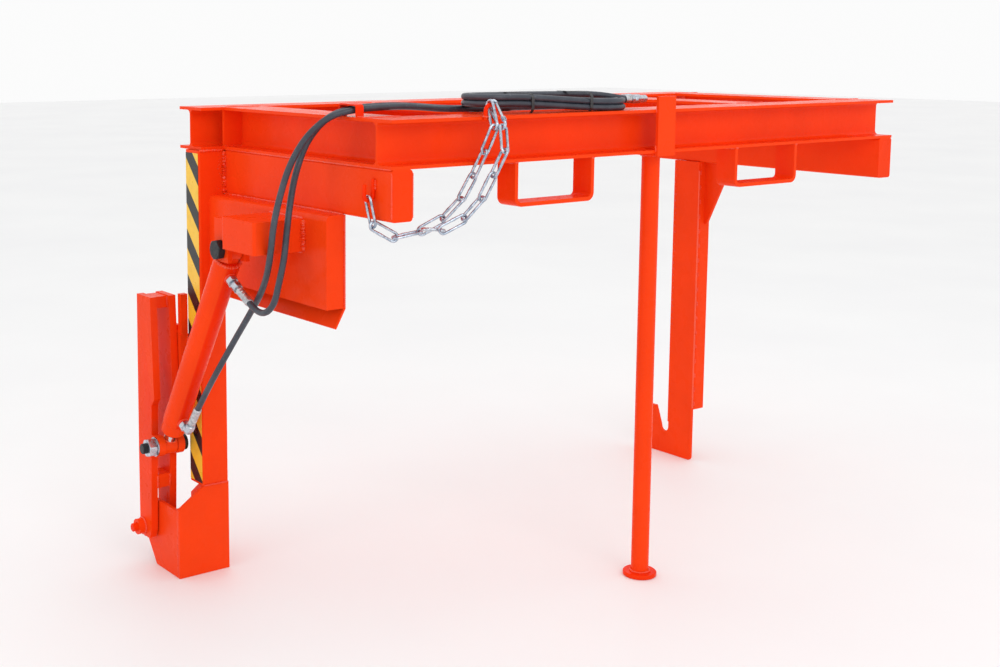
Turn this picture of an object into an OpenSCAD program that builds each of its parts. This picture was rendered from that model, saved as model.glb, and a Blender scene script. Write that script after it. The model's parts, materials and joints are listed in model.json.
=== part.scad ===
// Fork-carried clamp frame: a welded top frame of wide-flange beams with two fork pockets,
// a clamp post with a hydraulic lever at the left, a hook arm at the right and a prop leg in front.
// X runs along the frame, Y runs from the front to the rear, Z is up.
// The origin is the centre of the prop leg's foot, on the ground.

/* [Frame] */
// Length of the front beam, along X
frame_l = 1890; // [1800:10:2100]
// Height of the frame's top face above the ground
frame_h = 1290; // [1240:10:1400]
// Front edge of the rear beam, behind the front edge of the front beam
rear_y = 760; // [740:10:800]
// Depth of a beam's section
beam_h = 114; // [110:1:118]
// Width of a beam's flanges
beam_b = 120; // [116:2:124]
// Thickness of a beam's flanges
flange_t = 8; // [6:1:10]
// Thickness of a beam's web
web_t = 5; // [4:1:8]
// How far the rear beam reaches past the left beam
rear_overhang = 70; // [60:1:76]

/* [Side tubes] */
// Width of a side tube
tube_w = 60; // [56:2:64]
// Height of a side tube
tube_h = 120; // [110:5:130]
// Wall of a side tube
tube_t = 4; // [3:1:6]

/* [Fork pockets] */
// Clear width of a fork pocket
pocket_w = 245; // [220:5:260]
// Clear height of a fork pocket
pocket_h = 99; // [80:1:110]
// Width of the pocket strap, along Y
strap_w = 65; // [50:5:80]
// Thickness of the pocket strap
strap_t = 10; // [8:1:12]
// Left pocket's outer face, from the left end of the frame
pocket_x = 371; // [360:1:380]

/* [Prop leg and arm] */
// Prop leg, from the left end of the frame
leg_x = 905; // [880:5:960]
// Outer diameter of the prop leg
leg_d = 48; // [42:1:60]
// Diameter of the leg's foot disc
foot_d = 92; // [80:1:110]
// Width of the hook plate, along Y
arm_w = 108; // [100:2:110]
// Clear width of the hook's notch
notch_w = 36; // [30:1:40]

/* [Clamp] */
// Width of the clamp lever's plates, along Y
lever_w = 80; // [70:1:90]
// Thickness of a lever plate
lever_t = 20; // [15:1:22]
// Height of the lever's top
lever_top = 772; // [740:1:800]
// Outer diameter of the cylinder's barrel
barrel_d = 70; // [60:1:72]
// Diameter of the piston rod
rod_d = 35; // [25:1:40]
// Diameter of the cylinder's two pins
pin_d = 30; // [24:1:32]

/* [Hydraulics and chain] */
// Outer diameter of the hoses
hose_d = 16; // [14:1:17]
// Wire diameter of the safety chain
chain_d = 7; // [6:1:8]
// Inner length of a chain link, a little more than the run of each link
link_pitch = 65.5; // [65.5:0.5:67]
// Outer width of a chain link
link_w = 28; // [26:1:30]

/* [Hidden] */

paint = "orangered";
zinc = "silver";
steel_black = "#26262a";
rubber = "#2b2e33";
round_fn = 64;
touch = 0.3;        // air between bodies that move against each other
bore_play = 0.05;   // radial play of a running fit

beam_z = frame_h - beam_h;
tube_z = beam_z - tube_h;
frame_rear = rear_y + beam_b;
root_r = 12;
leg_y = beam_b / 2;
pocket_out = pocket_w + 2 * strap_t;
pocket_pitch = 2 * (leg_x - pocket_x) - pocket_out;

// Post, shoe and clamp
post_x = -80;
post_y = rear_y - 2;
post_d = 75;
post_rear = post_y + post_d;
shoe_x = -156;
shoe_t = 10;
shoe_top = 250;
shoe_side_top = 190;
shoe_rear = 960;
cyl_x = -141;                     // plane of the cylinder
lever_gap = 38;
lever_x0 = cyl_x - lever_gap / 2 - lever_t;
lever_x1 = cyl_x + lever_gap / 2;
lever_y = 866;
pivot = [930, 108];               // y and z of the lever's pivot
pivot_d = 24;
upper_pin = [481, 952];           // y and z of the cylinder's upper pin
lower_pin = [845, 358];           // y and z of the cylinder's lower pin
pin_run = norm(lower_pin - upper_pin);
cyl_tilt = atan2(lower_pin[0] - upper_pin[0], upper_pin[1] - lower_pin[1]);
eye_w = 32;
lug_t = 12;
lug_gap = 38;
ear_r = 28;
open_play = 2.5;                  // radial air in the rod eye, where the linkage is opened
barrel_s0 = 34;
barrel_s1 = 604;
bore_d = barrel_d - 10;
port_s = [70, 580];
stub_l = 14;

// Bracket box on the guide
guide_x = -50;
guide_y = 190;
guide_z = 830;
guide_t = 5;
box_x = -190;
box_y0 = 290;
box_y1 = 445;
box_z = [960, 1040];

// Right arm
arm_w_x = 54;                     // width of the arm tube, along X
arm_x = frame_l - arm_w_x;
arm_y = 690;
arm_t = 10;
arm_rear = arm_y + arm_w;

// Hose routes, point by point from the port fitting to the hank
ferrule_d = 22;
hose_z = frame_h + hose_d / 2 + 0.5;
upper_route = [
  [-141, 395, 826], [-141, 377, 817], [-140, 345, 809], [-139, 311, 818], [-136, 287, 843],
  [-132, 275, 884], [-124, 262, 950], [-116, 260, 1020], [-108, 256, 1090], [-95, 250, 1160],
  [-70, 238, 1232], [-32, 214, 1285], [14, 192, 1306], [70, 190, 1311], [140, 194, 1312],
  [210, 199, 1309], [280, 200, 1303], [330, 198, 1300], [355, 195.2, 1299]
];
lower_route = [
  [-141, 669, 497], [-138, 604, 578], [-128, 552, 650], [-117, 505, 716], [-113, 440, 790],
  [-124, 367, 856], [-145, 302, 918], [-155, 270, 975], [-153, 258, 1040], [-140, 248, 1110],
  [-121, 234, 1180], [-87, 214, 1245], [-40, 186, 1291], [14, 164, 1306], [70, 157, 1310],
  [140, 157, 1311], [210, 166, 1307], [280, 178, 1301], [338, 180.7, 1299]
];
// Hank: a long flat coil of both hoses that lies across the front beam and the inner beam
hank_c = [560, 104];
hank_turn = -7;
hank_l = 480;
hank_w = 148;
hank_h = 3 * hose_d;

// ---------- helpers ----------
module at_frame() translate([-leg_x, -leg_y, 0]) children();

module round_rect(w, h, r) {
  translate([r, 0]) square([w - 2 * r, h]);
  translate([0, r]) square([w, h - 2 * r]);
  for (x = [r, w - r], y = [r, h - r]) translate([x, y]) circle(r, $fn = round_fn);
}

// Wide-flange section, centred on x, standing on y = 0
module beam_section() {
  for (y = [0, beam_h - flange_t]) translate([-beam_b / 2, y]) square([beam_b, flange_t]);
  translate([-web_t / 2, 0]) square([web_t, beam_h]);
  for (sx = [-1, 1], sy = [0, 1])
    translate([sx * web_t / 2, sy ? beam_h - flange_t : flange_t])
      mirror([sx < 0 ? 1 : 0, 0]) mirror([0, sy])
        difference() {
          square(root_r);
          translate([root_r, root_r]) circle(root_r, $fn = round_fn);
        }
}

module beam_along_x(x0, x1, y0)
  at_frame() translate([x0, y0 + beam_b / 2, beam_z]) rotate([90, 0, 90])
    linear_extrude(x1 - x0) beam_section();

module beam_along_y(x0, y0, y1)
  at_frame() translate([x0 + beam_b / 2, y1, beam_z]) rotate([90, 0, 0])
    linear_extrude(y1 - y0) beam_section();

// Plate in the plane across X: its outline is given as [y, z] points
module plate_x(x0, t) at_frame() translate([x0, 0, 0]) rotate([90, 0, 90]) linear_extrude(t) children();

// Plate in the plane across Y: its outline is given as [x, z] points
module plate_y(y0, t) at_frame() translate([0, y0 + t, 0]) rotate([90, 0, 0]) linear_extrude(t) children();

// Round bar along X from x0 to x1 at [y, z]
module bar_x(x0, x1, p, d)
  at_frame() translate([x0, p[0], p[1]]) rotate([0, 90, 0]) cylinder(h = x1 - x0, d = d, $fn = round_fn);

// Hexagon along X, across flats af
module hex_x(x0, x1, p, af)
  at_frame() translate([x0, p[0], p[1]]) rotate([0, 90, 0])
    cylinder(h = x1 - x0, d = af / cos(30), $fn = 6);

// Frame of the cylinder: z runs down along its axis from the upper pin
module at_cylinder()
  at_frame() translate([cyl_x, upper_pin[0], upper_pin[1]]) rotate([180 + cyl_tilt, 0, 0]) children();

// ---------- top frame ----------
module front_beam() color(paint) beam_along_x(0, frame_l, 0);
module rear_beam() color(paint) beam_along_x(-rear_overhang, frame_l, rear_y);
module left_beam() color(paint) beam_along_y(0, beam_b, rear_y);
module right_beam() color(paint) beam_along_y(frame_l - beam_b, beam_b, rear_y);
module inner_beam_left() color(paint) beam_along_y(pocket_x + 5, beam_b, rear_y);
module inner_beam_right()
  color(paint) beam_along_y(2 * leg_x - pocket_x - 5 - beam_b, beam_b, rear_y);

module corner_stiffeners() color(paint)
  for (x = [0, frame_l - beam_b / 2 + web_t / 2 + touch])
    plate_y(rear_y, 8)
      translate([x, beam_z + flange_t]) square([beam_b / 2 - web_t / 2 - touch, beam_h - 2 * flange_t]);

module side_tube(x) color(paint)
  plate_y(3, frame_rear - 6) translate([x, tube_z]) difference() {
    round_rect(tube_w, tube_h, 8);
    translate([tube_t, tube_t]) round_rect(tube_w - 2 * tube_t, tube_h - 2 * tube_t, 4);
  }
module left_side_tube() side_tube(0);
module right_side_tube() side_tube(frame_l - tube_w);
module tube_end_caps() color(paint)
  for (x = [0, frame_l - tube_w], y = [0, frame_rear - 3])
    plate_y(y, 3) translate([x, tube_z]) round_rect(tube_w, tube_h, 8);

module fork_pocket(x) color(paint)
  plate_y(0, strap_w) translate([x, beam_z - pocket_h - strap_t]) intersection() {
    square([pocket_out, pocket_h + strap_t]);
    difference() {
      round_rect(pocket_out, pocket_h + 3 * strap_t + 30, 22);
      translate([strap_t, strap_t]) round_rect(pocket_w, pocket_h + 3 * strap_t, 12);
    }
  }
module fork_pocket_left() fork_pocket(pocket_x);
module fork_pocket_right() fork_pocket(pocket_x + pocket_pitch);

module front_stop_bar() color(paint)
  plate_y(-8, 8) translate([856, beam_z - 8]) square([65, beam_h + 42]);

// ---------- prop leg ----------
module leg_tube() color(paint) difference() {
  translate([0, 0, 12]) cylinder(h = beam_z - 20, d = leg_d, $fn = round_fn);
  translate([0, 0, 11]) cylinder(h = beam_z - 18, d = leg_d - 6.4, $fn = round_fn);
}
module leg_head_plate() color(paint)
  translate([-leg_d / 2 - 22, -leg_d / 2 - 22, beam_z - 8]) cube([leg_d + 44, leg_d + 44, 8]);
module leg_foot_disc() color(paint) rotate_extrude($fn = round_fn)
  polygon([[0, 0], [foot_d / 2 - 2, 0], [foot_d / 2, 2], [foot_d / 2, 10], [foot_d / 2 - 2, 12], [0, 12]]);

// ---------- folded guide and cylinder bracket ----------
lip_drop = 47;
lip_out = 27;
lip_l = norm([lip_drop, lip_out]);
lip_side = [lip_drop, -lip_out] / lip_l * guide_t;
module guide_plate() color(paint)
  plate_y(guide_y, post_y - guide_y)
    polygon([
      [0, tube_z], [guide_t, tube_z], [guide_t, guide_z - 1],
      [-lip_out, guide_z - lip_drop] + lip_side, [-lip_out, guide_z - lip_drop], [0, guide_z]
    ]);

guide_top = tube_z;
module guide_profile(inset) translate([guide_x + inset, guide_z]) intersection() {
  round_rect(-guide_x + 40, guide_top - guide_z - inset, 14 - inset);
  translate([0, 14 - inset]) square([-guide_x - inset, guide_top - guide_z]);
}
module guide_box() color(paint) {
  plate_y(guide_y + guide_t, post_y - guide_y - guide_t)
    difference() {
      guide_full(0);
      guide_full(guide_t);
    }
  plate_y(guide_y, guide_t) guide_full(0);
}
module guide_full(inset) {
  w = -guide_x - inset;
  h = guide_top - guide_z - inset;
  r = 14 - inset;
  translate([guide_x + inset, guide_z]) {
    square([w, h - r]);
    translate([r, 0]) square([w - r, h]);
    translate([r, h - r]) circle(r, $fn = round_fn);
  }
}

box_w = guide_x - box_x;
box_l = box_y1 - box_y0;
module bracket_box() color(paint) at_frame() translate([box_x, box_y0, box_z[0]]) difference() {
  linear_extrude(box_z[1] - box_z[0]) round_rect(box_w + 20, box_l, 8);
  translate([6, 6, 6]) linear_extrude(box_z[1] - box_z[0] - 12) round_rect(box_w + 20, box_l - 12, 3);
  translate([box_w, -1, -1]) cube([40, box_l + 2, box_z[1] - box_z[0] + 2]);
}

module lug_outline(p, y0) difference() {
  union() {
    translate([y0, p[1]]) square([p[0] - y0 + 31, box_z[1] - 10 - p[1]]);
    translate([y0, p[1] - 31]) square([p[0] - y0, 31]);
    translate(p) circle(31, $fn = round_fn);
  }
  translate(p) circle(pin_d / 2 + bore_play, $fn = round_fn);
}
module bracket_lugs() color(paint)
  for (x = [cyl_x - lug_gap / 2 - lug_t, cyl_x + lug_gap / 2])
    plate_x(x, lug_t) lug_outline(upper_pin, box_y1);

// ---------- post, shoe and catch ----------
module left_post() color(paint) at_frame() translate([post_x, post_y, shoe_top]) difference() {
  linear_extrude(beam_z - shoe_top) round_rect(-post_x, post_d, 6);
  translate([5, 5, 6]) linear_extrude(beam_z - shoe_top) round_rect(-post_x - 10, post_d - 10, 2);
}

module shoe_front_plate() color(paint)
  plate_y(post_y, shoe_t)
    polygon([[shoe_x, 0], [0, 0], [0, shoe_top], [post_x + 4, shoe_top], [shoe_x, shoe_side_top + 5]]);

shoe_y = post_y + shoe_t;
module shoe_outer_plate() color(paint)
  plate_x(shoe_x, shoe_t) difference() {
    polygon([[shoe_y, 0], [897, 0], [951, 68], [962, 109], [962, 165], [937, shoe_side_top],
      [shoe_y, shoe_side_top]]);
    translate(pivot) circle(pivot_d / 2 + bore_play, $fn = round_fn);
  }
module shoe_inner_plate() color(paint)
  plate_x(-shoe_t, shoe_t)
    polygon([[shoe_y, 0], [897, 0], [951, 68], [962, 109], [962, 165], [post_rear + 20, shoe_top],
      [shoe_y, shoe_top]]);
module shoe_floor_plate() color(paint) at_frame()
  translate([shoe_x + shoe_t, shoe_y, 0]) cube([-shoe_x - 2 * shoe_t, 125, 10]);
// Lug that carries the inner end of the lever's pivot
module shoe_pivot_lug() color(paint)
  plate_x(-98, 12) difference() {
    union() {
      translate([shoe_y, 10]) square([893 - shoe_y, 140]);
      translate([893 - 20, pivot[1] - 28]) square([pivot[0] - 873, 56]);
      translate(pivot) circle(28, $fn = round_fn);
    }
    translate(pivot) circle(pivot_d / 2 + bore_play, $fn = round_fn);
  }

// Upright plate behind the post, with a prong beside the lever
catch_z = 432;
catch_top = 664;
prong_top = 777;
catch_rear = 918;
module catch_face() color(paint)
  plate_y(post_rear + touch, 10) translate([post_x - 24, catch_z]) square([64, catch_top - catch_z]);
module catch_plate() color(paint)
  plate_x(post_x - 20, 20) {
    translate([post_rear + 10 + touch, catch_z]) square([catch_rear - post_rear - 10, catch_top - catch_z]);
    translate([post_rear + touch, catch_top]) square([19, prong_top - catch_top]);
    translate([post_rear + 19, catch_top]) difference() {
      square(22);
      translate([22, 22]) circle(22, $fn = round_fn);
    }
    translate([post_rear + 45, catch_top]) square([catch_rear - post_rear - 45, 20]);
  }

module hazard_tape() color("gold")
  plate_x(post_x - 0.6, 0.6) translate([post_y + 4, shoe_top + 6])
    square([post_d - 8, beam_z - shoe_top - 14]);

// ---------- right arm ----------
module arm_tube() color(paint) at_frame() translate([arm_x, arm_y, 182]) difference() {
  linear_extrude(tube_z - 182) round_rect(arm_w_x, 70, 6);
  translate([4, 4, 4]) linear_extrude(tube_z - 182) round_rect(arm_w_x - 8, 62, 3);
}

module hook_plate() color(paint)
  plate_x(arm_x - arm_t, arm_t) difference() {
    union() {
      translate([arm_y + 12, 0]) square([893 - arm_y - 12, 60]);
      translate([arm_y + 12, 12]) circle(12, $fn = round_fn);
      translate([arm_y, 12]) square([arm_w, tube_z - 12]);
      translate([arm_y + arm_w, 12]) square([905 - arm_y - arm_w, 60]);
      translate([893, 12]) circle(12, $fn = round_fn);
      polygon([[arm_y + arm_w, 70], [905, 70], [905, 150], [892, 165], [854, 165],
        [arm_rear + notch_w - 4, 97], [arm_y + arm_w, 97]]);
    }
    translate([arm_rear - 4 + notch_w / 2, 97]) circle(notch_w / 2, $fn = round_fn);
    translate([arm_rear - 4, 97]) square([notch_w, 20]);
  }

module arm_gusset() color(paint)
  plate_x(frame_l - 30, 10)
    polygon([[arm_y, tube_z], [arm_y, 840], [arm_y - 10, 840], [arm_y - 92, tube_z - 40], [arm_y - 92, tube_z]]);

// ---------- welds ----------
module bead_z(x, y, z0, z1, r)
  at_frame() translate([x, y, z0]) linear_extrude(z1 - z0) children();
module quarter(r) intersection() {
  circle(r, $fn = 24);
  square(r);
}
module weld_beads() color(paint) {
  bead_z(0, post_y, tube_z + 8, beam_z - 8) rotate(180) quarter(7);
  bead_z(guide_x, box_y0, box_z[0] + 2, box_z[1] - 2) rotate(180) quarter(7);
  bead_z(arm_x - arm_t, arm_y, 190, tube_z - 30) mirror([0, 1]) quarter(5);
}

// ---------- chain, hooks, clip ----------
hook_d = 10;
hook_r = 12;
// Rod hook on the left tube: a leg on the tube's face, a round belly, and a free leg
module chain_hook_side() color(paint) at_frame() translate([-hook_r - hook_d / 2, 66, 1115]) {
  rotate([90, 0, 0]) rotate([0, 0, 180]) rotate_extrude(angle = 180, $fn = round_fn)
    translate([hook_r, 0]) circle(d = hook_d, $fn = 24);
  translate([hook_r, 0, 0]) cylinder(h = 38, d = hook_d, $fn = 24);
  translate([-hook_r, 0, 0]) cylinder(h = 26, d = hook_d, $fn = 24);
}

// Closed rod staple on the front flange's edge
top_hook_x = 286.5;
top_r = 15.5;
module chain_hook_top() color(paint)
  at_frame() translate([top_hook_x, -hook_d / 2 - 0.1, frame_h + 12]) {
    rotate([90, 0, 0]) rotate_extrude(angle = 180, $fn = round_fn)
      translate([top_r, 0]) circle(d = hook_d, $fn = 24);
    for (s = [-1, 1]) translate([s * top_r, 0, -20]) cylinder(h = 20, d = hook_d, $fn = 24);
  }

// One chain link: its long axis is z, centred, lying in the plane of x and z
module chain_link() {
  straight = link_pitch + 2 * chain_d - link_w;
  r = (link_w - chain_d) / 2;
  for (s = [-1, 1]) {
    translate([s * r, 0, -straight / 2]) cylinder(h = straight, d = chain_d, $fn = 12);
    translate([0, 0, s * straight / 2]) rotate([s > 0 ? 90 : -90, 0, 0])
      rotate_extrude(angle = 180, $fn = 24) translate([r, 0]) circle(d = chain_d, $fn = 12);
  }
}

// Places a piece whose long axis is z between points a and b; flip turns it a quarter about that line
module between(a, b, flip) {
  t = unit(b - a);
  w = unit(cross([0, 1, 0], t));
  x = flip ? cross(t, w) : w;
  y = cross(t, x);
  m = (a + b) / 2;
  multmatrix([[x[0], y[0], t[0], m[0]], [x[1], y[1], t[1], m[1]], [x[2], y[2], t[2], m[2]]]) children();
}

// Points where successive links meet: first from the side hook to the top hook, then the loose end
chain_main = [
  [-18.6, 66.5, 1109.4], [-12.5, 53, 1046.1], [34.7, 34.9, 1016.8], [97.3, 20.7, 1026.8], [151, 2, 1055.6],
  [193, -12, 1100], [224, -19, 1154], [249.8, -26.6, 1208.8], [276.5, -31.4, 1266.4], [283.6, -3.8, 1321.8]
];
chain_end = [[292.9, -42.9, 1266.5], [275.9, -69.6, 1213], [247.6, -62.7, 1157.3], [218, -57, 1104],
  [175.2, -45.9, 1059.4], [121.5, -30.8, 1034]];
end_tip = [81.1, -16.5, 1038];
module links_along(run, flip)
  for (i = [0 : len(run) - 2]) between(run[i], run[i + 1], (i % 2 == 1) != flip) chain_link();
module chain_links() color(zinc) at_frame() links_along(chain_main, true);
module chain_loose_end() color(zinc) at_frame() links_along(chain_end, false);

// Spring hook that holds the loose end on the staple
snap_c = [292.5, -21.7, 1293.9];
module at_snap() at_frame() translate(snap_c) rotate([-38.1, 0, 0]) rotate([0, 0, 90]) children();
snap_l = 84;
snap_w = 34;
snap_d = 8;
snap_r = (snap_w - snap_d) / 2;
snap_s = snap_l - snap_w;
gate_z = -snap_s / 2 + 8;
gate_pin_d = 2.4;
module snap_hook_body() color(zinc) at_snap() {
  for (s = [-1, 1])
    translate([0, 0, s * snap_s / 2]) rotate([s > 0 ? 90 : -90, 0, 0])
      rotate_extrude(angle = 180, $fn = 40) translate([snap_r, 0]) circle(d = snap_d, $fn = 20);
  translate([snap_r, 0, -snap_s / 2]) cylinder(h = snap_s, d = snap_d, $fn = 20);
  translate([-snap_r, 0, -snap_s / 2]) cylinder(h = 3.8, d = snap_d, $fn = 20);
  for (y = [-4.8, 3.3]) {
    translate([-snap_r - 4, y, gate_z - 10]) cube([8, 1.5, 10]);
    translate([-snap_r, y, gate_z]) rotate([-90, 0, 0]) cylinder(h = 1.5, d = 8, $fn = 32);
  }
  translate([-snap_r, -4, gate_z]) rotate([-90, 0, 0]) cylinder(h = 8, d = gate_pin_d, $fn = 32);
}
module snap_hook_gate() color(zinc) at_snap() translate([-snap_r, 0, gate_z]) difference() {
  union() {
    rotate([90, 0, 0]) cylinder(h = snap_d - 2, d = 7, center = true, $fn = 32);
    cylinder(h = snap_s - 8 - touch, d = snap_d - 2, $fn = 20);
  }
  rotate([90, 0, 0]) cylinder(h = 10, r = gate_pin_d / 2 + bore_play, center = true, $fn = 32);
}
// S-shaped hook on the chain's free end
module chain_end_hook() color(zinc) at_frame()
  between(chain_end[len(chain_end) - 1], end_tip, true) {
    for (s = [-1, 1])
      translate([0, 0, s * 14]) rotate([s > 0 ? 90 : -90, 0, 0])
        rotate_extrude(angle = 180, $fn = 40) translate([12, 0]) circle(d = 8, $fn = 20);
    translate([12, 0, -14]) cylinder(h = 28, d = 8, $fn = 20);
  }

// Strap over both hoses on the left beam
clip_x = 2;
clip_w = 22;
module hose_clip() color(paint) plate_x(clip_x, clip_w)
  difference() {
    translate([142, frame_h]) square([72, 30]);
    translate([146, frame_h - 1]) square([64, 27]);
  }

// ---------- clamp lever ----------
// Seen from the side: the ears at the front carry the cylinder's lower pin
module lever_outline() difference() {
  union() {
    polygon([
      [862, lever_top], [862 + lever_w, lever_top], [948, 300], [948, pivot[1]], [905, 80],
      [888, 84], [879, pivot[1]], [872, 285], [864, 470], [848, 489]
    ]);
    translate([pivot[0] - 10, pivot[1]]) circle(28, $fn = round_fn);
    translate([lower_pin[0], lower_pin[1] - ear_r]) square([50, 2 * ear_r]);
    translate(lower_pin) circle(ear_r, $fn = round_fn);
  }
  translate(pivot) circle(pivot_d / 2 + bore_play, $fn = round_fn);
  translate(lower_pin) circle(pin_d / 2 + bore_play, $fn = round_fn);
}
module lever_outer_plate() color(paint) plate_x(lever_x0, lever_t) lever_outline();
module lever_inner_plate() color(paint) plate_x(lever_x1, lever_t) lever_outline();
module lever_cross_plates() color(paint)
  for (z = [[lever_top - 34, 32], [228, 38]])
    at_frame() translate([lever_x0 + lever_t, 874, z[0]]) cube([lever_gap, 60, z[1]]);
module lever_bushes() color(paint) at_frame() translate([lever_x0 - 20, pivot[0], pivot[1]])
  rotate([0, 90, 0]) difference() {
    cylinder(h = 20, d = 44, $fn = round_fn);
    translate([0, 0, -1]) cylinder(h = 22, d = pivot_d + 2 * bore_play, $fn = round_fn);
  }

module pivot_bolt() color(paint) {
  bar_x(lever_x0 - 35, -85.5, pivot, pivot_d);
  hex_x(-85.5, -72, pivot, 36);
}
module upper_pin_bolt() color(steel_black) {
  x0 = cyl_x - lug_gap / 2 - lug_t;
  x1 = cyl_x + lug_gap / 2 + lug_t;
  bar_x(x0 - 1, x1 + 26, upper_pin, pin_d);
  hex_x(x0 - 18.7, x0 - touch, upper_pin, 46);
  hex_x(x1 + touch, x1 + 24, upper_pin, 46);
}
module lower_pin_bolt() color(steel_black) {
  bar_x(lever_x0 - 42, lever_x1 + lever_t + 1, lower_pin, pin_d);
  hex_x(lever_x0 - 28, lever_x0 - 4, lower_pin, 46);
  bar_x(lever_x0 - 4, lever_x0 - touch, lower_pin, 54);
  bar_x(lever_x1 + lever_t + touch, lever_x1 + lever_t + 13, lower_pin, 46);
}

// ---------- cylinder ----------
module eye(s, w, d, bore) translate([-w / 2, 0, s]) rotate([0, 90, 0]) difference() {
  cylinder(h = w, d = d, $fn = round_fn);
  translate([0, 0, -1]) cylinder(h = w + 2, d = bore, $fn = round_fn);
}

module cylinder_barrel() color(paint) at_cylinder() difference() {
  union() {
    eye(0, eye_w, 60, pin_d);
    translate([0, 0, barrel_s0]) cylinder(h = barrel_s1 - barrel_s0, d = barrel_d, $fn = round_fn);
    translate([-eye_w / 2, -22, 20]) cube([eye_w, 44, 20]);
    for (s = port_s) translate([0, 0, s]) rotate([-90, 0, 0])
      cylinder(h = barrel_d / 2 + 4, d = 26, $fn = round_fn);
  }
  translate([0, 0, barrel_s0 + 20]) cylinder(h = 700, d = bore_d, $fn = round_fn);
  translate([-100, 0, 0]) rotate([0, 90, 0]) cylinder(h = 200, r = pin_d / 2 + bore_play, $fn = round_fn);
}
module cylinder_gland() color(paint) at_cylinder() translate([0, 0, barrel_s1 + 0.1]) difference() {
  cylinder(h = 34, d = barrel_d - 4, $fn = round_fn);
  translate([0, 0, -1]) cylinder(h = 36, d = rod_d + 2 * bore_play, $fn = round_fn);
}
module cylinder_piston() color(zinc) at_cylinder()
  translate([0, 0, barrel_s0 + 22]) cylinder(h = 42, d = bore_d - 2 * bore_play, $fn = round_fn);
module piston_rod() color(zinc) at_cylinder()
  translate([0, 0, barrel_s0 + 64]) cylinder(h = pin_run - barrel_s0 - 64 - 22, d = rod_d, $fn = round_fn);
module rod_eye() color(paint) at_cylinder() difference() {
  eye(pin_run, eye_w + 2, 50, pin_d + 2 * open_play);
  translate([-50, -50, pin_run - 60]) cube([100, 100, 38.2]);
}

// Port fittings: a straight one at the top, an elbow at the bottom, each ending flush with its ferrule
upper_back = [-141, 461.7, 859.2];
lower_back = [-141, 717.5, 434];
module neck(a, back, l, d) at_frame() between(back - l * unit(a - back), back, false)
  translate([0, 0, -l / 2]) cylinder(h = l - 0.02, d = d, $fn = round_fn);
module port_fittings() color(zinc) {
  for (s = port_s) at_cylinder() translate([0, barrel_d / 2 + 4, s]) rotate([-90, 0, 0])
    cylinder(h = stub_l, d = 27 / cos(30), $fn = 6);
  at_cylinder() translate([0, barrel_d / 2 + 4 + stub_l - 1, port_s[1]]) rotate([-90, 0, 0])
    cylinder(h = 29, d = 22, $fn = round_fn);
  neck(upper_route[0], upper_back, 15, 18);
  neck(lower_route[0], lower_back, 16, 20);
}

// ---------- hoses ----------
function unit(v) = v / norm(v);
module ferrule(a, back) {
  d = unit(a - back);
  yaw = atan2(d[1], d[0]);
  tilt = atan2(norm([d[0], d[1]]), d[2]);
  l = norm(a - back);
  translate(back) rotate([0, tilt, yaw]) {
    cylinder(h = l * 0.35, d = ferrule_d / cos(30), $fn = 6);
    translate([0, 0, l * 0.35]) cylinder(h = l * 0.65 - 0.05, d = ferrule_d, $fn = round_fn);
  }
}
module hose_ferrules() color(zinc) at_frame() {
  ferrule(upper_route[0], upper_back);
  ferrule(lower_route[0], lower_back);
}

// Tube swept along a route: one ring of points at each route point
hose_sides = 10;
function tangent(p, i) =
  unit(p[min(i + 1, len(p) - 1)] - p[max(i - 1, 0)]);
function side_of(t) = unit(cross(t, abs(t[0]) < 0.9 ? [1, 0, 0] : [0, 0, 1]));
function ring(c, t, r) =
  let (a = side_of(t), b = cross(t, a))
  [for (k = [0 : hose_sides - 1]) c + r * (cos(360 * k / hose_sides) * a + sin(360 * k / hose_sides) * b)];
module hose(route, back) {
  n = len(route);
  pts = [for (i = [0 : n - 1])
    each ring(route[i], i == 0 ? unit(route[0] - back) : tangent(route, i), hose_d / 2)];
  walls = [for (i = [0 : n - 2], k = [0 : hose_sides - 1])
    let (a = i * hose_sides + k, b = i * hose_sides + (k + 1) % hose_sides)
    [a, a + hose_sides, b + hose_sides, b]];
  first = [for (k = [0 : hose_sides - 1]) k];
  last = [for (k = [hose_sides - 1 : -1 : 0]) (n - 1) * hose_sides + k];
  polyhedron(pts, concat([first], walls, [last]));
}
module hose_upper() color(rubber) at_frame() hose(upper_route, upper_back);
module hose_lower() color(rubber) at_frame() hose(lower_route, lower_back);

module at_hank() at_frame() translate([hank_c[0], hank_c[1], frame_h + touch]) rotate(hank_turn) children();
module hank_outline() for (s = [-1, 1]) {
  translate([s * (hank_l - hank_w) / 2, 0]) circle(d = hank_w, $fn = round_fn);
  translate([-(hank_l - hank_w) / 2, -hank_w / 2]) square([hank_l - hank_w, hank_w]);
}
module hose_hank() color(rubber) at_hank() linear_extrude(hank_h) hank_outline();
module hank_ties() color(steel_black)
  for (x = [-90, 90]) at_hank() translate([x, 0, 0]) difference() {
    translate([-4, -hank_w / 2 - 1.5, 0]) cube([8, hank_w + 3, hank_h + 1.5]);
    translate([-5, -hank_w / 2, -1]) cube([10, hank_w, hank_h + 1]);
  }
module quick_couplers() color(zinc)
  for (y = [-16, 16]) at_hank() translate([hank_l / 2 - 2, y, hank_h - 22]) rotate([0, 90, 0]) {
    translate([0, 0, 2.5]) cylinder(h = 21.5, d = hose_d, $fn = round_fn);
    translate([0, 0, 24]) cylinder(h = 30, d = 24, $fn = round_fn);
    translate([0, 0, 54]) cylinder(h = 26, d = 20, $fn = round_fn);
  }

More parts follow.
